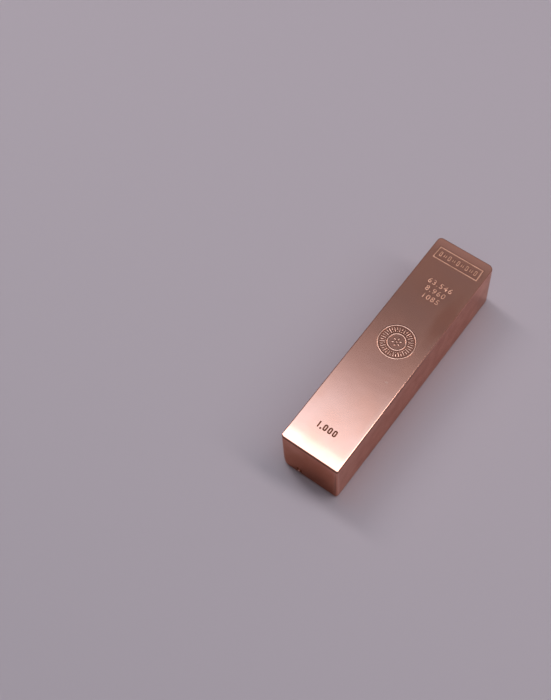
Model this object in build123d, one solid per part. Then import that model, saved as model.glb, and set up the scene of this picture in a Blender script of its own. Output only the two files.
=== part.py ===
from build123d import *
import os

# Cast copper bar of one kilogram, lying on the side that was open to the air when it was poured.
# Millimetres. The length runs along Y and the height along Z. The origin is the middle of the
# underside. The flat face that bears the marks looks up, and the weight mark goes at the -Y end.

# Struck face, measured to its sharp outline before the edges are eased
face_length = 126.9
face_width = 30.3
face_corner_radius = 1.7
face_edge_radius = 0.7

# Depth of the mould, and how far each wall of the mould leans out over that depth
height = 28.8
side_lean = 0.4
end_lean = 0.45

# Underside: the melt draws back from the mould's corners and rounds over as it sets
base_corner_radius = 3.2
base_edge_radius = 1.6

base_length = face_length + 2 * end_lean
base_width = face_width + 2 * side_lean


def drafted_body():
    """Lofts the mould's cavity, with upright corners that open out towards the underside."""
    with BuildPart() as body:
        with BuildSketch(Plane.XY):
            RectangleRounded(base_width, base_length, base_corner_radius)
        with BuildSketch(Plane.XY.offset(height)):
            RectangleRounded(face_width, face_length, face_corner_radius)
        loft(ruled=True)
    return body.part


def rounded_ingot():
    """Rolls the underside's rim over and eases the rim of the struck face."""
    body = drafted_body()
    underside = body.faces().sort_by(Axis.Z)[0]
    body = fillet(underside.edges(), base_edge_radius)
    struck_face = body.faces().sort_by(Axis.Z)[-1]
    return fillet(struck_face.edges(), face_edge_radius)


ingot = rounded_ingot()
ingot.label = "ingot"
os.makedirs("parts", exist_ok=True)
export_step(ingot, "parts/ingot.step")

copper_density = 8.93
print(f"ingot: {ingot.volume / 1000:.2f} cubic centimetres, {ingot.volume * copper_density / 1e6:.3f} kg in copper")
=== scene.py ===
# Looks of a cast copper bar of one kilogram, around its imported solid.
# The bar is modelled in millimetres and made metres at the end; the studio is in metres.
import math

import bmesh
import bpy
from mathutils import Matrix, Vector


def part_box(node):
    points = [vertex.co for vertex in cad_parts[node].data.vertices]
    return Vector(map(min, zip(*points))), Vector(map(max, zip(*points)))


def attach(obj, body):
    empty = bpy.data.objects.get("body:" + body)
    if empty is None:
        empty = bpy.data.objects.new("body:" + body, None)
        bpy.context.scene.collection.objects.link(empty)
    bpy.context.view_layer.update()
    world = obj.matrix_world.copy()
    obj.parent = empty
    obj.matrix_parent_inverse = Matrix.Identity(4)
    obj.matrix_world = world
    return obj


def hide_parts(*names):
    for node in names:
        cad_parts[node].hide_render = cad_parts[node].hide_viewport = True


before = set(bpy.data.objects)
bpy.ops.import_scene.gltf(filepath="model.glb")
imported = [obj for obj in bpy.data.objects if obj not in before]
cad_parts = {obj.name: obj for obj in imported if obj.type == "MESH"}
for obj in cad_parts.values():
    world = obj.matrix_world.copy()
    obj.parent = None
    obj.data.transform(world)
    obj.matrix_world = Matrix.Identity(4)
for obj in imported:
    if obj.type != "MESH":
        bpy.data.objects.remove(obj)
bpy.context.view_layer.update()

MM = 0.001

# Points of a mesh that are nearer than this, in millimetres, are one point
MERGE_DISTANCE = 0.0001

# The bar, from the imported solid. Width lies along X, length along Y, height along Z
bar_top_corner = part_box("ingot")[1]
HALF_WIDTH = bar_top_corner.x / MM
HALF_LENGTH = bar_top_corner.y / MM
HEIGHT = bar_top_corner.z / MM

# Lean of the walls over the height, as in the solid, and the rims
SIDE_LEAN = 0.4
END_LEAN = 0.45
BASE_RIM_RADIUS = 1.6
FACE_RIM_RADIUS = 0.5
RIM_STEPS = 6

# Upright corners: near left, near right, far right, far left. The solid has one radius for all;
# in the real casting each corner filled a little differently
CORNERS = ((-1, -1), (1, -1), (1, 1), (-1, 1))
BASE_CORNER_RADII = (4.2, 1.7, 3.2, 3.2)
FACE_CORNER_RADII = (1.5, 0.75, 3.0, 2.2)
CORNER_STEPS = 10
WALL_STEPS = 6

# Buffing lets the struck face fall away a little before each end
ROLL_OFF_LENGTH = 8.0
ROLL_OFF_DROP = 0.11
ROLL_OFF_STEPS = 8

# The block is cut into a fine grid where the marks lie, so that each face meets only a few marks.
# The grid is shifted by a share of its step, so that no cut runs through the middle of the bar
GRID_STEP = 1.87
GRID_SHIFT = 0.3
GRID_HALF_WIDTH = 11.0
GRID_HALF_LENGTH = 55.5

# Raised marks stand this far above the struck face and are rooted this far inside it.
# Their lines are low ridges that are round from foot to foot
MARK_RISE = 0.10
MARK_ROOT = 0.10
LINE_WIDTH = 0.9
STROKE_WIDTH = 0.65
CREST_STEPS = 4
# A closed line goes over its whole crest. A single stroke ends in a narrow flat just before the middle
LINE_TURN = math.pi
STROKE_TURN = 0.44 * math.pi
# A stroke's ends are rounded by a share of its width. A line's inset corners keep a least radius
STROKE_END_ROUND = 0.49
STROKE_END_STEPS = 3
LEAST_CORNER = 0.02
OUTLINE_CORNER_STEPS = 6
RING_STEPS = 96
RING_PROFILE_STEPS = 14
DOME_MERIDIANS = 16
DOME_LEVELS = 10

# Cartouche at the far end. The corners of a bead are rounded by a share of its width
CARTOUCHE_CENTRE = (0.2, 55.3)
CARTOUCHE_SIZE = (24.2, 7.2)
BEAD_COUNT = 9
BEAD_PITCH = 2.35
BEAD_SIZE = (1.55, 3.1)
BEAD_ROUND = 0.45
REEL_LENGTH = 1.9
REEL_PITCH = 0.95

# Three rows of plain numbers below the cartouche: digits and the middle of the row. The digits are
# rounded over their whole rise, which widens their strokes, so the strokes are thinned first
NUMBER_ROWS = (("63.546", 40.15), ("8.960", 35.95), ("1085", 31.75))
NUMBER_HEIGHT = 2.9
FONT_SIZE_FOR_HEIGHT = 1.36
NUMBER_RISE = 0.12
NUMBER_THIN = -0.05
NUMBER_SPACING = 1.22
NUMBER_BEVEL_STEPS = 2
NUMBER_CURVE_STEPS = 4

# Seal: two rings, and between them long and short bars in turn. Each short bar has a dot nearer the
# middle of the seal
SEAL_CENTRE = (0.15, 4.2)
SEAL_OUTER_RADIUS = 8.65
SEAL_INNER_RADIUS = 4.25
SEAL_BAND_MIDDLE = 6.45
SEAL_REPEATS = 18
LONG_BAR_LENGTH = 2.7
SHORT_BAR_LENGTH = 1.62
SHORT_BAR_SHIFT = 0.5
DOT_SHIFT = -1.0
DOT_SIZE = 0.6
# Rosette in the middle of the seal
HEART_SIZE = 1.1
PETALS = 6
PETAL_SIZE = (0.9, 1.9)
PETAL_RADIUS = 1.75

# Plain number at the near end. The places of its digits and its point are in pitches
WEIGHT_CENTRE = (0.15, -49.2)
WEIGHT_HEIGHT = 3.3
WEIGHT_STROKE = 0.72
WEIGHT_PITCH = 2.5
ONE_PLACE = -1.9
POINT_PLACE = -1.28
ZERO_PLACES = (-0.55, 0.45, 1.45)
ZERO_WIDTH = 1.9
ZERO_ROUND = 0.45
POINT_SIZE = 1.0
POINT_DROP = 0.42

# Small burr low on the near end. Each bead: how far across and up from the burr's place, its width and
# half its height
BURR_PLACE = (-6.2, 3.9)
BURR_BEADS = ((0.0, 0.0, 1.2, 0.9), (0.8, -0.9, 0.9, 0.9), (1.7, -0.6, 1.1, 0.8))
BURR_DEPTH = 1.0
BURR_ROOT = 0.1
# The middle bead carries a painted highlight: its place, and how far the bright part reaches to each side
# of it
BRIGHT_BEAD_X = BURR_PLACE[0] + BURR_BEADS[1][0]
BRIGHT_BEAD_Z = BURR_PLACE[1] + BURR_BEADS[1][1]
BRIGHT_BEAD_REACH = 0.4


# Building blocks for the bar and its marks


def rounded_rectangle(bm, width, length, radii, level, steps):
    """One flat face centred on the origin at a height, with a radius for each corner."""
    before = set(bm.faces)
    quad = bmesh.ops.create_grid(bm, x_segments=1, y_segments=1, size=0.5)["verts"]
    bmesh.ops.scale(bm, vec=(width, length, 1), verts=quad)
    bmesh.ops.translate(bm, vec=(0, 0, level), verts=quad)
    for (x, y), radius in zip(CORNERS, radii):
        if radius == 0:
            continue
        corner = next(vert for vert in quad if vert.is_valid and vert.co.x * x > 0 and vert.co.y * y > 0)
        quad.remove(corner)
        bmesh.ops.bevel(
            bm, geom=[corner], offset=radius, offset_type="OFFSET", segments=steps,
            profile=0.5, affect="VERTICES", material=-1,
        )
    return next(face for face in bm.faces if face not in before)


def skin(bm, levels, closed_round):
    """Joins flat outlines in turn, either into a solid with two end faces or round into a closed line."""
    rims = [list(level.edges) for level in levels]
    inner = levels if closed_round else levels[1:-1]
    bmesh.ops.delete(bm, geom=inner, context="FACES_ONLY")
    for lower, upper in zip(rims, rims[1:]):
        bmesh.ops.bridge_loops(bm, edges=lower + upper)
    if closed_round:
        bmesh.ops.bridge_loops(bm, edges=rims[-1] + rims[0])


def round_edges(bm, edges, radius, steps):
    """Rolls edges over."""
    bmesh.ops.bevel(
        bm, geom=edges, offset=radius, offset_type="OFFSET", segments=steps,
        profile=0.5, affect="EDGES", material=-1, clamp_overlap=False,
    )


def cut(bm, point, direction):
    """Cuts the whole block by one plane."""
    everything = list(bm.verts) + list(bm.edges) + list(bm.faces)
    bmesh.ops.bisect_plane(bm, geom=everything, plane_co=point, plane_no=direction)


def finished_mesh(bm, name):
    """Merges doubled points and makes a mesh whose faces point outwards."""
    bmesh.ops.remove_doubles(bm, verts=bm.verts, dist=MERGE_DISTANCE)
    bmesh.ops.recalc_face_normals(bm, faces=bm.faces)
    mesh = bpy.data.meshes.new(name)
    bm.to_mesh(mesh)
    bm.free()
    return mesh


def union(body, parts):
    """Joins the parts to the body as one closed mesh."""
    main = bpy.data.objects.new("joined", body)
    bpy.context.scene.collection.objects.link(main)
    helpers = []
    for part in parts:
        helper = bpy.data.objects.new("part", part)
        bpy.context.scene.collection.objects.link(helper)
        helpers.append(helper)
        modifier = main.modifiers.new("join", "BOOLEAN")
        modifier.operation = "UNION"
        modifier.solver = "MANIFOLD"
        modifier.object = helper
    bpy.context.view_layer.update()
    graph = bpy.context.evaluated_depsgraph_get()
    mesh = bpy.data.meshes.new_from_object(main.evaluated_get(graph))
    for helper in helpers + [main]:
        bpy.data.objects.remove(helper)
    return mesh


# The cast block


def wall_outline(bm, share):
    """The walls' outline at a share of the height, with corners that tighten on the way up."""
    tighten = math.sqrt(share)
    radii = [base + (face - base) * tighten for base, face in zip(BASE_CORNER_RADII, FACE_CORNER_RADII)]
    return rounded_rectangle(
        bm, 2 * (HALF_WIDTH - SIDE_LEAN * share), 2 * (HALF_LENGTH - END_LEAN * share),
        radii, share * HEIGHT, CORNER_STEPS,
    )


def cut_grid(bm):
    """Cuts the block across and along in even steps."""
    across = int(GRID_HALF_LENGTH / GRID_STEP)
    for number in range(-across, across + 1):
        cut(bm, (0, (number + GRID_SHIFT) * GRID_STEP, 0), (0, 1, 0))
    along = int(GRID_HALF_WIDTH / GRID_STEP)
    for number in range(-along, along + 1):
        cut(bm, ((number + GRID_SHIFT) * GRID_STEP, 0, 0), (1, 0, 0))


def roll_off(bm):
    """Lets the struck face fall away before each end, by cuts across the block that are set lower."""
    start = HALF_LENGTH - ROLL_OFF_LENGTH
    for side in (-1, 1):
        for step in range(ROLL_OFF_STEPS):
            cut(bm, (0, side * (start + step * ROLL_OFF_LENGTH / ROLL_OFF_STEPS), 0), (0, 1, 0))
    for vert in bm.verts:
        past = max(0, (abs(vert.co.y) - start) / ROLL_OFF_LENGTH)
        vert.co.z *= 1 - ROLL_OFF_DROP * past**2 / HEIGHT


def cast_body():
    """The drafted block with its rolled rims and its struck face that falls away at the ends."""
    bm = bmesh.new()
    levels = [wall_outline(bm, step / WALL_STEPS) for step in range(WALL_STEPS + 1)]
    base_rim = list(levels[0].edges)
    face_rim = list(levels[-1].edges)
    skin(bm, levels, closed_round=False)
    round_edges(bm, base_rim, BASE_RIM_RADIUS, RIM_STEPS)
    round_edges(bm, face_rim, FACE_RIM_RADIUS, RIM_STEPS)
    cut_grid(bm)
    roll_off(bm)
    return finished_mesh(bm, "body")


# Shapes that the marks are made of


def crest_profile(line, turn):
    """Insets and levels over a rounded crest, from the root on one side through an angle of the round."""
    profile = [(0, -MARK_ROOT)]
    for step in range(2 * CREST_STEPS + 1):
        angle = turn * step / (2 * CREST_STEPS)
        profile.append((line / 2 * (1 - math.cos(angle)), MARK_RISE * math.sin(angle)))
    return profile


def stroke(width, length):
    """A raised stroke with a rounded crest and rounded ends, along Y."""
    def build(bm):
        levels = []
        for inset, level in crest_profile(width, STROKE_TURN):
            radii = [STROKE_END_ROUND * width - inset] * len(CORNERS)
            levels.append(rounded_rectangle(
                bm, width - 2 * inset, length - 2 * inset, radii, level, STROKE_END_STEPS,
            ))
        skin(bm, levels, closed_round=False)
    return build


def outline(width, length, radius, line):
    """A raised line with a rounded crest that runs round a rounded rectangle."""
    def build(bm):
        levels = []
        for inset, level in crest_profile(line, LINE_TURN) + [(line, -MARK_ROOT)]:
            corner = max(radius - inset, LEAST_CORNER) if radius else 0
            levels.append(rounded_rectangle(
                bm, width - 2 * inset, length - 2 * inset, [corner] * len(CORNERS), level,
                OUTLINE_CORNER_STEPS,
            ))
        skin(bm, levels, closed_round=True)
    return build


def dome(width, length, rise):
    """A raised oval dome."""
    def build(bm):
        made = bmesh.ops.create_uvsphere(bm, u_segments=DOME_MERIDIANS, v_segments=DOME_LEVELS, radius=0.5)
        bmesh.ops.scale(bm, vec=(width, length, 2 * rise), verts=made["verts"])
    return build


def ring(radius, line):
    """A raised ring with a rounded crest."""
    def build(bm):
        stand = Matrix.Translation((radius, 0, 0)) @ Matrix.Rotation(math.pi / 2, 4, "X")
        bmesh.ops.create_circle(bm, segments=RING_PROFILE_STEPS, radius=line / 2, matrix=stand)
        bmesh.ops.scale(bm, vec=(1, 1, MARK_RISE / (line / 2)), verts=bm.verts)
        bmesh.ops.spin(
            bm, geom=list(bm.verts) + list(bm.edges), cent=(0, 0, 0), axis=(0, 0, 1),
            angle=2 * math.pi, steps=RING_STEPS, use_merge=True,
        )
    return build


def island(target, build, placing):
    """Builds one island in a bmesh of its own and adds it to the marks at its place."""
    bm = bmesh.new()
    build(bm)
    bmesh.ops.transform(bm, matrix=placing, verts=bm.verts)
    mesh = bpy.data.meshes.new("island")
    bm.to_mesh(mesh)
    bm.free()
    target.from_mesh(mesh)
    bpy.data.meshes.remove(mesh)


def at(x, y, turn=0.0):
    """A place on the struck face, turned about the upright axis."""
    return Matrix.Translation((x, y, HEIGHT)) @ Matrix.Rotation(turn, 4, "Z")


def round_about(centre, radius, turn):
    """A place on a circle round a centre, with the mark's length along the radius."""
    x = centre[0] + radius * math.sin(turn)
    y = centre[1] + radius * math.cos(turn)
    return at(x, y, -turn)


# The marks


def cartouche(marks):
    """A thin frame round a row of open beads with pairs of short bars between them."""
    centre_x, centre_y = CARTOUCHE_CENTRE
    border = outline(*CARTOUCHE_SIZE, 0, LINE_WIDTH)
    bead = outline(*BEAD_SIZE, BEAD_ROUND * BEAD_SIZE[0], STROKE_WIDTH)
    reel = stroke(STROKE_WIDTH, REEL_LENGTH)
    island(marks, border, at(centre_x, centre_y))
    for number in range(BEAD_COUNT):
        x = centre_x + (number - (BEAD_COUNT - 1) / 2) * BEAD_PITCH
        if number % 2 == 0:
            island(marks, bead, at(x, centre_y))
        else:
            for side in (-0.5, 0.5):
                island(marks, reel, at(x + side * REEL_PITCH, centre_y))


def raised_digits(digits):
    """One row of digits as a mesh, centred on the origin."""
    curve = bpy.data.curves.new("digits", "FONT")
    curve.body = digits
    curve.align_x = "CENTER"
    curve.align_y = "CENTER"
    curve.size = FONT_SIZE_FOR_HEIGHT * NUMBER_HEIGHT
    curve.offset = NUMBER_THIN
    curve.bevel_depth = NUMBER_RISE
    curve.bevel_resolution = NUMBER_BEVEL_STEPS
    curve.resolution_u = NUMBER_CURVE_STEPS
    curve.space_character = NUMBER_SPACING
    holder = bpy.data.objects.new("digits", curve)
    bpy.context.scene.collection.objects.link(holder)
    bpy.context.view_layer.update()
    mesh = bpy.data.meshes.new_from_object(holder)
    bpy.data.objects.remove(holder)
    bpy.data.curves.remove(curve)
    return mesh


def number_rows(marks):
    """Rows of plain numbers in raised digits."""
    for digits, y in NUMBER_ROWS:
        mesh = raised_digits(digits)
        mesh.transform(at(0, y))
        marks.from_mesh(mesh)
        bpy.data.meshes.remove(mesh)


def seal(marks):
    """Two rings, a band of long bars, short bars and dots between them, and a rosette."""
    island(marks, ring(SEAL_OUTER_RADIUS, LINE_WIDTH), at(*SEAL_CENTRE))
    island(marks, ring(SEAL_INNER_RADIUS, LINE_WIDTH), at(*SEAL_CENTRE))
    long_bar = stroke(STROKE_WIDTH, LONG_BAR_LENGTH)
    short_bar = stroke(STROKE_WIDTH, SHORT_BAR_LENGTH)
    dot = dome(DOT_SIZE, DOT_SIZE, MARK_RISE)
    share = 2 * math.pi / SEAL_REPEATS
    for number in range(SEAL_REPEATS):
        turn = number * share
        between = turn + 0.5 * share
        island(marks, long_bar, round_about(SEAL_CENTRE, SEAL_BAND_MIDDLE, turn))
        island(marks, short_bar, round_about(SEAL_CENTRE, SEAL_BAND_MIDDLE + SHORT_BAR_SHIFT, between))
        island(marks, dot, round_about(SEAL_CENTRE, SEAL_BAND_MIDDLE + DOT_SHIFT, between))
    island(marks, dome(HEART_SIZE, HEART_SIZE, MARK_RISE), at(*SEAL_CENTRE))
    petal = dome(*PETAL_SIZE, MARK_RISE)
    for number in range(PETALS):
        turn = number * 2 * math.pi / PETALS
        island(marks, petal, round_about(SEAL_CENTRE, PETAL_RADIUS, turn))


def weight_number(marks):
    """The plain number 1.000 in condensed rounded digits."""
    x, y = WEIGHT_CENTRE
    one = stroke(WEIGHT_STROKE, WEIGHT_HEIGHT)
    point = dome(POINT_SIZE, POINT_SIZE, MARK_RISE)
    zero = outline(ZERO_WIDTH, WEIGHT_HEIGHT, ZERO_ROUND * ZERO_WIDTH, WEIGHT_STROKE)
    island(marks, one, at(x + ONE_PLACE * WEIGHT_PITCH, y))
    island(marks, point, at(x + POINT_PLACE * WEIGHT_PITCH, y - POINT_DROP * WEIGHT_HEIGHT))
    for pitches in ZERO_PLACES:
        island(marks, zero, at(x + pitches * WEIGHT_PITCH, y))


def struck_marks():
    """Every mark on the struck face, as closed islands in one mesh."""
    marks = bmesh.new()
    cartouche(marks)
    number_rows(marks)
    seal(marks)
    weight_number(marks)
    return finished_mesh(marks, "marks")


def near_end_burr():
    """Small beads of metal that the mould left low on the near end."""
    marks = bmesh.new()
    x, z = BURR_PLACE
    y = -HALF_LENGTH + BURR_ROOT
    for across, up, width, half_height in BURR_BEADS:
        bead = dome(width, BURR_DEPTH, half_height)
        island(marks, bead, Matrix.Translation((x + across, y, z + up)))
    return finished_mesh(marks, "burr")


# Patterns: how broken up the clouds of tarnish are, the part of the noise that they take, how many steps
# of detail the grain and the rims of the stains and painted patches have, and how fine those rims wander
CLOUD_ROUGHNESS = 0.55
CLOUD_SPAN = (0.32, 0.68)
GRAIN_DETAIL = 2.0
RAG_DETAIL = 3.0
RAG_SCALE = 160.0


# Nodes. Every pattern reads Object coordinates, which are the bar's own in metres


def add(tree, kind, inputs=None, **settings):
    """Adds a node with its settings; an input is given a socket to read or a plain value."""
    made = tree.nodes.new(kind)
    for name, value in settings.items():
        setattr(made, name, value)
    for name, value in (inputs or {}).items():
        if isinstance(value, bpy.types.NodeSocket):
            tree.links.new(value, made.inputs[name])
        else:
            made.inputs[name].default_value = value
    return made


def calc(tree, operation, *values):
    """A Math node's result."""
    made = add(tree, "ShaderNodeMath", dict(enumerate(values)), operation=operation)
    return made.outputs[0]


def vector_calc(tree, operation, *values):
    """A Vector Math node's result."""
    made = add(tree, "ShaderNodeVectorMath", dict(enumerate(values)), operation=operation)
    return made.outputs["Value" if operation == "LENGTH" else "Vector"]


def split(tree, vector):
    """A vector's parts, by axis."""
    return add(tree, "ShaderNodeSeparateXYZ", {0: vector}).outputs


def spread(tree, value, from_low, from_high, to_low=0.0, to_high=1.0):
    """A value eased from one range into another."""
    inputs = {
        "Value": value, "From Min": from_low, "From Max": from_high,
        "To Min": to_low, "To Max": to_high,
    }
    return add(tree, "ShaderNodeMapRange", inputs, interpolation_type="SMOOTHSTEP").outputs["Result"]


def group_of(name, vectors, numbers, output):
    """A new node group with vector and number inputs and one number output."""
    tree = bpy.data.node_groups.new(name, "ShaderNodeTree")
    for kind, labels in (("NodeSocketVector", vectors), ("NodeSocketFloat", numbers)):
        for label in labels:
            tree.interface.new_socket(name=label, in_out="INPUT", socket_type=kind)
    tree.interface.new_socket(name=output, in_out="OUTPUT", socket_type="NodeSocketFloat")
    return tree, tree.nodes.new("NodeGroupInput").outputs, tree.nodes.new("NodeGroupOutput").inputs


def cloud_group():
    """Soft clouds of tarnish, from none to full."""
    tree, given, result = group_of("tarnish_clouds", ["Vector"], ["Scale", "Detail"], "Mask")
    noise = add(tree, "ShaderNodeTexNoise", {
        "Vector": given["Vector"], "Scale": given["Scale"], "Detail": given["Detail"],
        "Roughness": CLOUD_ROUGHNESS,
    })
    tree.links.new(spread(tree, noise.outputs["Fac"], *CLOUD_SPAN), result["Mask"])
    return tree


def grain_group():
    """The fine grain that buffing leaves, with lines drawn out along the bar."""
    tree, given, result = group_of("buffed_grain", ["Vector"], ["Scale", "Draw"], "Height")
    stretch = add(tree, "ShaderNodeCombineXYZ", {"X": 1.0, "Y": given["Draw"], "Z": 1.0}).outputs["Vector"]
    drawn = vector_calc(tree, "MULTIPLY", given["Vector"], stretch)
    noise = add(tree, "ShaderNodeTexNoise", {
        "Vector": drawn, "Scale": given["Scale"], "Detail": GRAIN_DETAIL,
    })
    tree.links.new(noise.outputs["Fac"], result["Height"])
    return tree


def worn_edge_group():
    """Wear within a width of the bar's edges, where two of the three depths below its faces are small."""
    half = (HALF_WIDTH * MM, HALF_LENGTH * MM, 0.5 * HEIGHT * MM)
    tree, given, result = group_of("worn_edges", ["Vector"], ["Width"], "Mask")
    centred = vector_calc(tree, "SUBTRACT", given["Vector"], (0, 0, half[2]))
    spans = vector_calc(tree, "ABSOLUTE", centred)
    past = split(tree, vector_calc(tree, "SUBTRACT", spans, half))
    lesser = calc(tree, "MINIMUM", past["X"], past["Y"])
    greater = calc(tree, "MAXIMUM", past["X"], past["Y"])
    middle = calc(tree, "MAXIMUM", lesser, calc(tree, "MINIMUM", greater, past["Z"]))
    inner = calc(tree, "MULTIPLY", given["Width"], -1.0)
    tree.links.new(spread(tree, middle, inner, 0.0), result["Mask"])
    return tree


def patch_group():
    """One patch round a place, with a half size for each axis; it can be ragged and soft or crisp. Patches
    make the stains and the painted light and shade.
    """
    tree, given, result = group_of("patch", ["Vector", "Place", "Size"], ["Ragged", "Soft"], "Mask")
    away = vector_calc(tree, "SUBTRACT", given["Vector"], given["Place"])
    reach = vector_calc(tree, "LENGTH", vector_calc(tree, "DIVIDE", away, given["Size"]))
    noise = add(tree, "ShaderNodeTexNoise", {
        "Vector": given["Vector"], "Scale": RAG_SCALE, "Detail": RAG_DETAIL,
    })
    wander = calc(tree, "SUBTRACT", noise.outputs["Fac"], 0.5)
    rim = calc(tree, "ADD", reach, calc(tree, "MULTIPLY", wander, given["Ragged"]))
    outer = calc(tree, "ADD", 1.0, given["Soft"])
    inner = calc(tree, "SUBTRACT", 1.0, given["Soft"])
    tree.links.new(spread(tree, rim, outer, inner), result["Mask"])
    return tree


def finish_groups():
    """The effects that the finishes share."""
    return {
        "cloud": cloud_group(), "grain": grain_group(), "wear": worn_edge_group(), "patch": patch_group(),
    }


def use_group(tree, group, output, **values):
    """Puts a node group in a material with its own values."""
    return add(tree, "ShaderNodeGroup", values, node_tree=group).outputs[output]


def blend(tree, factor, first, second):
    """One colour going over into another."""
    made = add(tree, "ShaderNodeMix", {"Factor": factor}, data_type="RGBA")
    for name, colour in (("A", first), ("B", second)):
        if isinstance(colour, bpy.types.NodeSocket):
            tree.links.new(colour, made.inputs[name])
        else:
            made.inputs[name].default_value = (*colour, 1)
    return made.outputs["Result"]


def bump(tree, height, size, under=None):
    """A Bump node with a strength and a depth, over another one's normal where there is one."""
    strength, depth = size
    inputs = {"Height": height, "Strength": strength, "Distance": depth}
    if under is not None:
        inputs["Normal"] = under
    return add(tree, "ShaderNodeBump", inputs).outputs["Normal"]


# Colours of the finishes
COPPER = (0.91, 0.46, 0.37)
WARM_COPPER = (0.89, 0.42, 0.32)
WALL_COPPER = (0.78, 0.36, 0.265)
WALL_TARNISH = (0.64, 0.245, 0.175)
# Near end tarnish, deepened to paint the shade on that end
END_TARNISH_AND_SHADE = (0.48, 0.13, 0.055)
# Grey copper for painted shade low round the far right corner
PAINTED_SHADE_GREY = (0.44, 0.25, 0.20)
RED_TARNISH = (0.72, 0.27, 0.19)
# Bright copper for painted highlights and reflections, and for one faint light spot
BRIGHT_COPPER_AND_SHEEN = (0.95, 0.56, 0.46)
SEAL_GROUND = (0.40, 0.12, 0.07)
FAR_GROUND = (0.55, 0.23, 0.15)
PATINA = (0.30, 0.12, 0.08)
# Dark patina, also used as painted shade and painted dark reflection
DARK_PATINA_AND_SHADE = (0.16, 0.055, 0.03)
BROWN_MARK = (0.18, 0.06, 0.033)
RAISED_COPPER = (0.94, 0.50, 0.39)
FAR_MARK = (0.93, 0.45, 0.32)
SKIN_COPPER = (0.62, 0.28, 0.20)
GRAZING_TINT = (0.89, 0.77, 0.70)

# Roughness, from 0 for a mirror to 1 for dull. The underside's varies between two values
FACE_ROUGHNESS = 0.10
WALL_ROUGHNESS = 0.17
MARK_ROUGHNESS = 0.21
FAR_MARK_ROUGHNESS = 0.34
WEIGHT_MARK_ROUGHNESS = 0.45
SKIN_ROUGHNESS = (0.28, 0.42)

# How far clouds of tarnish dull the body and the marks, and how far they darken the marks
BODY_CLOUD_DULLING = 0.03
MARK_CLOUD_DULLING = 0.05
MARK_CLOUD_PATINA = 0.4

# How far patina and worn edges show on the underside, and how wide the wear is, in metres
SKIN_PATINA = 0.5
SKIN_WEAR = 0.5
SKIN_WEAR_WIDTH = 0.003

# Clouds: their scale, which is higher for finer ones, and how many steps of detail they have
FACE_CLOUD = {"Scale": 38.0, "Detail": 3.0}
WALL_MOTTLE = {"Scale": 150.0, "Detail": 4.0}
FACE_WAVE = {"Scale": 60.0, "Detail": 2.0}
MARK_CLOUD = {"Scale": 220.0, "Detail": 3.0}
SKIN_CLOUD = {"Scale": 70.0, "Detail": 4.0}
SKIN_BLOTCH = {"Scale": 260.0, "Detail": 4.0}
SKIN_RIPPLE = {"Scale": 110.0, "Detail": 3.0}

# Grain: its scale, and how far it is drawn out along the bar, where 1 is not at all
BODY_GRAIN = {"Scale": 2500.0, "Draw": 0.12}
MARK_GRAIN = {"Scale": 2500.0, "Draw": 0.5}
SKIN_GRAIN = {"Scale": 1400.0, "Draw": 1.0}

# Bumps: strength, and depth in metres
GRAIN_BUMP = (0.25, 0.000006)
WAVE_BUMP = (0.25, 0.00002)
SKIN_GRAIN_BUMP = (0.4, 0.00002)
SKIN_RIPPLE_BUMP = (0.4, 0.00022)

# Where along the bar, in metres, the far marks take over from the nearer ones
FAR_MARKS = (0.015, 0.030)

# Depths below the struck face, in millimetres, from where a change starts to where it is full. They are
# negative above the face, where a mark's crest comes out of its patina and painted shade
BUFFED_DEPTH = (1.2, 0.4)
CREST_DEPTH = (-0.6 * MARK_RISE, -0.94 * MARK_RISE)
# The painted dark reflection under the rim fades downwards, upwards, and towards the far end between two
# places along the bar in metres
RIM_LINE_FOOT = (1.9, 1.0)
RIM_LINE_TOP = (0.25, 0.5)
RIM_LINE_STRENGTH = 0.95
RIM_LINE_END = (-0.005, 0.020)

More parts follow.
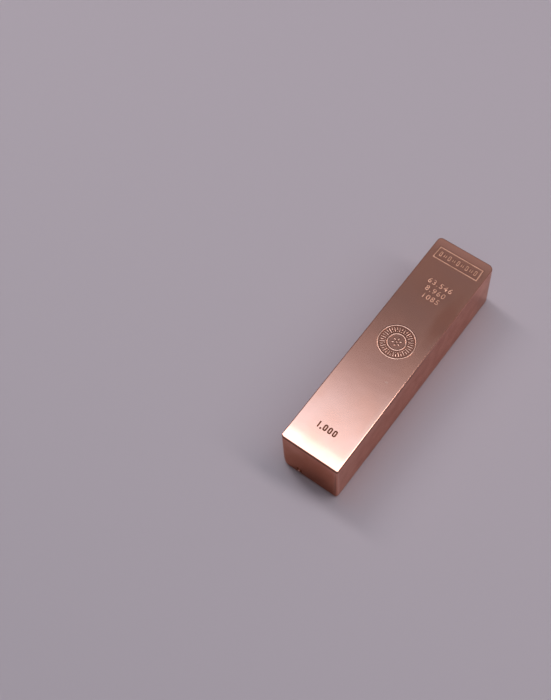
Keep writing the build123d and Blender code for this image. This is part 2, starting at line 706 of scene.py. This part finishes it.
# Stains and patches of painted light and shade on the bar, in millimetres: middle, half size, colour,
# strength, raggedness and softness
STAINS_AND_PAINTED_LIGHT = (
    # Redder copper on the right between the seal and the number rows, and on the near end, whose tarnish
    # is deepened by painted shade
    ((11.8, 25.0, HEIGHT), (3.8, 13.0, 3.0), RED_TARNISH, 0.5, 0.6, 0.45),
    ((2.0, -64.0, 10.0), (24.0, 1.2, 17.0), END_TARNISH_AND_SHADE, 0.70, 0.8, 0.45),
    # Painted reflection: brighter copper along the top and near end of the right wall
    ((15.4, -38.0, 27.0), (2.0, 34.0, 5.0), BRIGHT_COPPER_AND_SHEEN, 0.35, 0.4, 0.6),
    ((15.4, -58.0, 14.0), (2.0, 10.0, 15.0), BRIGHT_COPPER_AND_SHEEN, 0.3, 0.3, 0.6),
    # Painted shade: greyer copper low round the far right corner
    ((15.2, 63.0, 9.0), (5.5, 9.0, 16.0), PAINTED_SHADE_GREY, 0.42, 0.7, 0.75),
    # Duller ground between the seal's rings, and cleaner copper inside the inner ring
    ((*SEAL_CENTRE, HEIGHT), (8.7, 8.7, 3.0), SEAL_GROUND, 0.55, 0.0, 0.03),
    ((*SEAL_CENTRE, HEIGHT), (4.1, 4.1, 3.0), COPPER, 0.55, 0.2, 0.1),
    # Duller ground inside the cartouche and round the number rows
    ((*CARTOUCHE_CENTRE, HEIGHT), (13.5, 3.7, 3.0), FAR_GROUND, 0.14, 0.1, 0.1),
    ((0.0, 36.0, HEIGHT), (7.5, 6.5, 3.0), PATINA, 0.10, 0.4, 0.5),
    # Painted reflections on the near right corner: a light stripe on its right side and a dark line on its
    # left
    ((15.6, -62.6, 14.0), (0.7, 0.9, 17.0), BRIGHT_COPPER_AND_SHEEN, 0.6, 0.1, 0.3),
    ((14.4, -64.1, 14.0), (0.4, 0.9, 17.0), DARK_PATINA_AND_SHADE, 0.5, 0.1, 0.4),
    # Painted highlight on the burr's middle bead
    ((BRIGHT_BEAD_X, -64.3, BRIGHT_BEAD_Z), (0.5, 0.9, 1.1), BRIGHT_COPPER_AND_SHEEN, 0.9, 0.0, 0.2),
    # One faint light spot on the struck face
    ((7.9, -15.5, HEIGHT), (0.7, 0.4, 0.5), BRIGHT_COPPER_AND_SHEEN, 0.6, 0.3, 0.4),
)


# The finishes


def new_finish(name):
    """A metal material with its node tree, its shader and its Object coordinates."""
    material = bpy.data.materials.new(name)
    material.use_nodes = True
    tree = material.node_tree
    shader = tree.nodes["Principled BSDF"]
    shader.inputs["Metallic"].default_value = 1.0
    shader.inputs["Specular Tint"].default_value = (*GRAZING_TINT, 1)
    where = tree.nodes.new("ShaderNodeTexCoord").outputs["Object"]
    return material, tree, shader, where


def below_face(tree, axes, depths):
    """Eases from 0 to 1 between two depths below the struck face."""
    start, full = depths
    return spread(tree, axes["Z"], (HEIGHT - start) * MM, (HEIGHT - full) * MM)


def with_stains_and_painted_light(tree, patch, where, colour):
    """A colour with every stain and every patch of painted light and shade of the bar laid over it in
    turn.
    """
    for middle, size, tone, strength, ragged, soft in STAINS_AND_PAINTED_LIGHT:
        mask = use_group(
            tree, patch, "Mask", Vector=where, Ragged=ragged, Soft=soft,
            Place=tuple(MM * value for value in middle), Size=tuple(MM * value for value in size),
        )
        colour = blend(tree, calc(tree, "MULTIPLY", mask, strength), colour, tone)
    return colour


def painted_rim_reflection(tree, axes):
    """A painted dark reflection just under the struck face's rim, which fades out towards the far end."""
    foot = below_face(tree, axes, RIM_LINE_FOOT)
    top = below_face(tree, axes, RIM_LINE_TOP)
    along = spread(tree, axes["Y"], *RIM_LINE_END, RIM_LINE_STRENGTH, 0.0)
    return calc(tree, "MULTIPLY", calc(tree, "MULTIPLY", foot, top), along)


def body_copper(groups):
    """Buffed copper on the struck face that goes over into slightly duller cast walls."""
    material, tree, shader, where = new_finish("satin_copper")
    axes = split(tree, where)
    buffed = below_face(tree, axes, BUFFED_DEPTH)
    cloud = use_group(tree, groups["cloud"], "Mask", Vector=where, **FACE_CLOUD)
    mottle = use_group(tree, groups["cloud"], "Mask", Vector=where, **WALL_MOTTLE)
    face = blend(tree, cloud, COPPER, WARM_COPPER)
    wall = blend(tree, mottle, WALL_COPPER, WALL_TARNISH)
    colour = with_stains_and_painted_light(tree, groups["patch"], where, blend(tree, buffed, wall, face))
    # Painted dark reflection under the struck face's rim
    colour = blend(tree, painted_rim_reflection(tree, axes), colour, DARK_PATINA_AND_SHADE)
    tree.links.new(colour, shader.inputs["Base Color"])
    polish = spread(tree, buffed, 0, 1, WALL_ROUGHNESS, FACE_ROUGHNESS)
    dull = calc(tree, "ADD", polish, calc(tree, "MULTIPLY", cloud, BODY_CLOUD_DULLING))
    tree.links.new(dull, shader.inputs["Roughness"])
    grain = use_group(tree, groups["grain"], "Height", Vector=where, **BODY_GRAIN)
    wave = use_group(tree, groups["cloud"], "Mask", Vector=where, **FACE_WAVE)
    fine = bump(tree, grain, GRAIN_BUMP)
    tree.links.new(bump(tree, wave, WAVE_BUMP, fine), shader.inputs["Normal"])
    return material


def mark_copper(groups, name, crest, roughness):
    """Copper of the raised marks, with patina round their feet and painted shade over their flanks."""
    material, tree, shader, where = new_finish(name)
    axes = split(tree, where)
    rise = below_face(tree, axes, CREST_DEPTH)
    cloud = use_group(tree, groups["cloud"], "Mask", Vector=where, **MARK_CLOUD)
    far = spread(tree, axes["Y"], *FAR_MARKS)
    # Below the crest, patina and painted shade darken the marks
    colour = blend(tree, rise, DARK_PATINA_AND_SHADE, blend(tree, far, crest, FAR_MARK))
    colour = blend(tree, calc(tree, "MULTIPLY", cloud, MARK_CLOUD_PATINA), colour, DARK_PATINA_AND_SHADE)
    tree.links.new(colour, shader.inputs["Base Color"])
    polish = spread(tree, axes["Y"], *FAR_MARKS, roughness, FAR_MARK_ROUGHNESS)
    dull = calc(tree, "ADD", calc(tree, "MULTIPLY", cloud, MARK_CLOUD_DULLING), polish)
    tree.links.new(dull, shader.inputs["Roughness"])
    grain = use_group(tree, groups["grain"], "Height", Vector=where, **MARK_GRAIN)
    tree.links.new(bump(tree, grain, GRAIN_BUMP), shader.inputs["Normal"])
    return material


def underside_skin(groups):
    """The dull skin of the underside, which was open to the air when it set."""
    material, tree, shader, where = new_finish("cast_skin")
    cloud = use_group(tree, groups["cloud"], "Mask", Vector=where, **SKIN_CLOUD)
    blotch = use_group(tree, groups["cloud"], "Mask", Vector=where, **SKIN_BLOTCH)
    colour = blend(tree, cloud, SKIN_COPPER, RED_TARNISH)
    colour = blend(tree, calc(tree, "MULTIPLY", blotch, SKIN_PATINA), colour, PATINA)
    worn = use_group(tree, groups["wear"], "Mask", Vector=where, Width=SKIN_WEAR_WIDTH)
    colour = blend(tree, calc(tree, "MULTIPLY", worn, SKIN_WEAR), colour, WALL_COPPER)
    tree.links.new(colour, shader.inputs["Base Color"])
    tree.links.new(spread(tree, blotch, 0, 1, *SKIN_ROUGHNESS), shader.inputs["Roughness"])
    grain = use_group(tree, groups["grain"], "Height", Vector=where, **SKIN_GRAIN)
    ripple = use_group(tree, groups["cloud"], "Mask", Vector=where, **SKIN_RIPPLE)
    fine = bump(tree, grain, SKIN_GRAIN_BUMP)
    tree.links.new(bump(tree, ripple, SKIN_RIPPLE_BUMP, fine), shader.inputs["Normal"])
    return material


# The piece

BODY, MARK, WEIGHT_MARK, SKIN = range(4)

# A face belongs to the underside where its normal points further down than this. It belongs to a mark
# or to the burr where it stands out by more than these, in millimetres
DOWNWARD = -0.8
MARK_PROUD = 0.004
BURR_PROUD = 0.02

# Edges between faces that meet at more than this, in degrees, are shaded sharp
SHARP_ANGLE = 32


def finish_of(face):
    """Which finish a face of the bar takes, by where it lies in millimetres."""
    x, y, z = face.center
    if face.normal.z < DOWNWARD:
        return SKIN
    if z > HEIGHT + MARK_PROUD:
        return WEIGHT_MARK if y < WEIGHT_CENTRE[1] + WEIGHT_HEIGHT else MARK
    # The burr's outer beads take the dark brown mark finish as painted shade, and its middle bead keeps
    # the body's copper under a painted highlight
    if y < -HALF_LENGTH - BURR_PROUD:
        return BODY if abs(x - BRIGHT_BEAD_X) < BRIGHT_BEAD_REACH else WEIGHT_MARK
    return BODY


def add_finishes(mesh):
    """Gives the mesh its four finishes, in the order of their numbers, and each face its own."""
    groups = finish_groups()
    mesh.materials.clear()
    mesh.materials.append(body_copper(groups))
    mesh.materials.append(mark_copper(groups, "mark_copper", RAISED_COPPER, MARK_ROUGHNESS))
    mesh.materials.append(mark_copper(groups, "weight_mark_copper", BROWN_MARK, WEIGHT_MARK_ROUGHNESS))
    mesh.materials.append(underside_skin(groups))
    for face in mesh.polygons:
        face.material_index = finish_of(face)


def build_bar():
    """The bar with its marks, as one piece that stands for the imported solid."""
    mesh = union(cast_body(), [struck_marks(), near_end_burr()])
    mesh.name = "cast_copper_bar"
    add_finishes(mesh)
    mesh.transform(Matrix.Scale(MM, 4))
    mesh.shade_smooth()
    mesh.set_sharp_from_angle(angle=math.radians(SHARP_ANGLE))
    piece = bpy.data.objects.new("cast_copper_bar", mesh)
    bpy.context.scene.collection.objects.link(piece)
    shading = piece.modifiers.new("flat faces lead", "WEIGHTED_NORMAL")
    shading.keep_sharp = True
    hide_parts("ingot")
    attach(piece, "root")


# The studio, in metres. A lean is how far a direction goes sideways for each metre that it goes up.
# Leans are worked out for directions that go up by at least a little
LEAST_UPWARD = 0.001

FLOOR_HALF_WIDTH = 10.0
FLOOR_COLOUR = (0.60, 0.495, 0.545)
FLOOR_ROUGHNESS = 0.7

# Lamps: name, two corners, brightness of the surface and colour
LAMP_HEIGHT = 1.0
LAMPS = (
    ("middle_lamp", (-0.48, 0.05), (0.0, 0.268), 1.6, (1.0, 1.0, 1.0)),
    ("right_lamp", (0.1, 0.20), (1.5, 0.42), 4.4, (1.0, 0.95, 0.92)),
    ("left_lamp", (-1.2, 0.10), (-0.5, 0.28), 8.5, (1.0, 0.97, 0.95)),
)

# Soft light overhead: it is even up to a lean along Y and fades beyond it, and it ends softly at a
# lean behind and to each side
OVERHEAD_BRIGHTNESS = 1.35
OVERHEAD_COLOUR = (0.79, 1.06, 1.24)
OVERHEAD_EDGE = 0.385
OVERHEAD_FADE = 0.035
OVERHEAD_BACK = 0.0
OVERHEAD_SIDES = (-0.8, 0.3)
OVERHEAD_SOFTNESS = 0.2

# Surroundings: dim, a little brighter near the horizon, on the near side and high up on the far side,
# and dark lower down on the far side and on the left. A span runs from where a change starts to where
# it is full, as a part of the direction for the horizon and the near side, and as a lean for the others
AROUND_BRIGHTNESS = 0.17
AROUND_COLOUR = (1.0, 0.98, 1.0)
HORIZON_BRIGHTNESS = 0.2
HORIZON_SPAN = (0.42, 0.30)
NEAR_SIDE_SHARE = 1.1
NEAR_SIDE_SPAN = (-0.1, -0.4)
FAR_RISE = 0.2
FAR_RISE_SPAN = (0.54, 0.74)
FAR_DROP = 0.28
FAR_DROP_SPAN = (0.78, 0.98)
LEFT_DROP = 0.13
LEFT_DROP_SPAN = (-0.42, -0.62)
LEAST_BRIGHTNESS = 0.03

# The camera, with its roll in degrees and its focal length in millimetres
CAMERA_PLACE = (0.12115, -0.21905, 0.49329)
CAMERA_AIM = (-0.04197, -0.03108, 0.0288)
CAMERA_ROLL = -4.74
FOCAL_LENGTH = 59.95


def lay_floor():
    """A large plain pale floor."""
    bm = bmesh.new()
    bmesh.ops.create_grid(bm, x_segments=1, y_segments=1, size=FLOOR_HALF_WIDTH)
    mesh = bpy.data.meshes.new("floor")
    bm.to_mesh(mesh)
    bm.free()
    material = bpy.data.materials.new("pale_floor")
    material.use_nodes = True
    shader = material.node_tree.nodes["Principled BSDF"]
    shader.inputs["Base Color"].default_value = (*FLOOR_COLOUR, 1)
    shader.inputs["Roughness"].default_value = FLOOR_ROUGHNESS
    mesh.materials.append(material)
    floor = bpy.data.objects.new("floor", mesh)
    bpy.context.scene.collection.objects.link(floor)


def soft_lamp(name, low_corner, high_corner, brightness, colour):
    """A rectangular lamp that faces straight down and whose surface has a given brightness."""
    width = high_corner[0] - low_corner[0]
    depth = high_corner[1] - low_corner[1]
    data = bpy.data.lights.new(name, "AREA")
    data.shape = "RECTANGLE"
    data.size = width
    data.size_y = depth
    data.energy = brightness * math.pi * width * depth
    data.color = colour
    lamp = bpy.data.objects.new(name, data)
    lamp.location = (low_corner[0] + width / 2, low_corner[1] + depth / 2, LAMP_HEIGHT)
    bpy.context.scene.collection.objects.link(lamp)


def overhead_light(tree, lean_x, lean_y):
    """How much of the soft light overhead shows in a direction, from 0 to 1."""
    past = calc(tree, "MAXIMUM", calc(tree, "SUBTRACT", lean_y, OVERHEAD_EDGE), 0.0)
    lit = calc(tree, "EXPONENT", calc(tree, "DIVIDE", past, -OVERHEAD_FADE))
    left, right = OVERHEAD_SIDES
    ends = (
        (lean_y, OVERHEAD_BACK - OVERHEAD_SOFTNESS, OVERHEAD_BACK),
        (lean_x, left - OVERHEAD_SOFTNESS, left),
        (lean_x, right + OVERHEAD_SOFTNESS, right),
    )
    for lean, dark, bright in ends:
        lit = calc(tree, "MULTIPLY", lit, spread(tree, lean, dark, bright))
    return lit


def surroundings(tree, toward, lean_x, lean_y):
    """Brightness of the surroundings in a direction."""
    near = spread(tree, toward["Y"], *NEAR_SIDE_SPAN, 1.0, NEAR_SIDE_SHARE)
    around = calc(tree, "MULTIPLY", near, AROUND_BRIGHTNESS)
    changes = (
        (lean_y, FAR_RISE_SPAN, FAR_RISE),
        (lean_y, FAR_DROP_SPAN, -FAR_DROP),
        (lean_x, LEFT_DROP_SPAN, -LEFT_DROP),
    )
    for lean, span, change in changes:
        around = calc(tree, "ADD", around, spread(tree, lean, *span, 0.0, change))
    around = calc(tree, "MAXIMUM", around, LEAST_BRIGHTNESS)
    horizon = spread(tree, toward["Z"], *HORIZON_SPAN)
    lift = calc(tree, "MULTIPLY", horizon, HORIZON_BRIGHTNESS - AROUND_BRIGHTNESS)
    return calc(tree, "ADD", around, lift)


def studio_world():
    """A soft light overhead in dim surroundings."""
    world = bpy.data.worlds.new("studio")
    bpy.context.scene.world = world
    world.use_nodes = True
    tree = world.node_tree
    direction = tree.nodes.new("ShaderNodeTexCoord").outputs["Generated"]
    toward = split(tree, direction)
    upward = calc(tree, "MAXIMUM", toward["Z"], LEAST_UPWARD)
    lean_x = calc(tree, "DIVIDE", toward["X"], upward)
    lean_y = calc(tree, "DIVIDE", toward["Y"], upward)
    lit = overhead_light(tree, lean_x, lean_y)
    around = surroundings(tree, toward, lean_x, lean_y)
    over = calc(tree, "MULTIPLY", lit, OVERHEAD_BRIGHTNESS - AROUND_BRIGHTNESS)
    background = tree.nodes["Background"]
    tree.links.new(blend(tree, lit, AROUND_COLOUR, OVERHEAD_COLOUR), background.inputs["Color"])
    tree.links.new(calc(tree, "ADD", around, over), background.inputs["Strength"])


def light_studio():
    """A weaker lamp over the bar, a brighter one to each side, and the world."""
    for lamp in LAMPS:
        soft_lamp(*lamp)
    studio_world()


def set_camera():
    """The photograph's point of view."""
    data = bpy.data.cameras.new("camera")
    data.lens = FOCAL_LENGTH
    camera = bpy.data.objects.new("camera", data)
    look = Vector(CAMERA_AIM) - Vector(CAMERA_PLACE)
    level = look.to_track_quat("-Z", "Y").to_matrix().to_4x4()
    roll = Matrix.Rotation(math.radians(CAMERA_ROLL), 4, "Z")
    camera.matrix_world = Matrix.Translation(CAMERA_PLACE) @ level @ roll
    bpy.context.scene.collection.objects.link(camera)
    bpy.context.scene.camera = camera


build_bar()
lay_floor()
light_studio()
set_camera()
bpy.context.scene.view_settings.view_transform = "Standard"
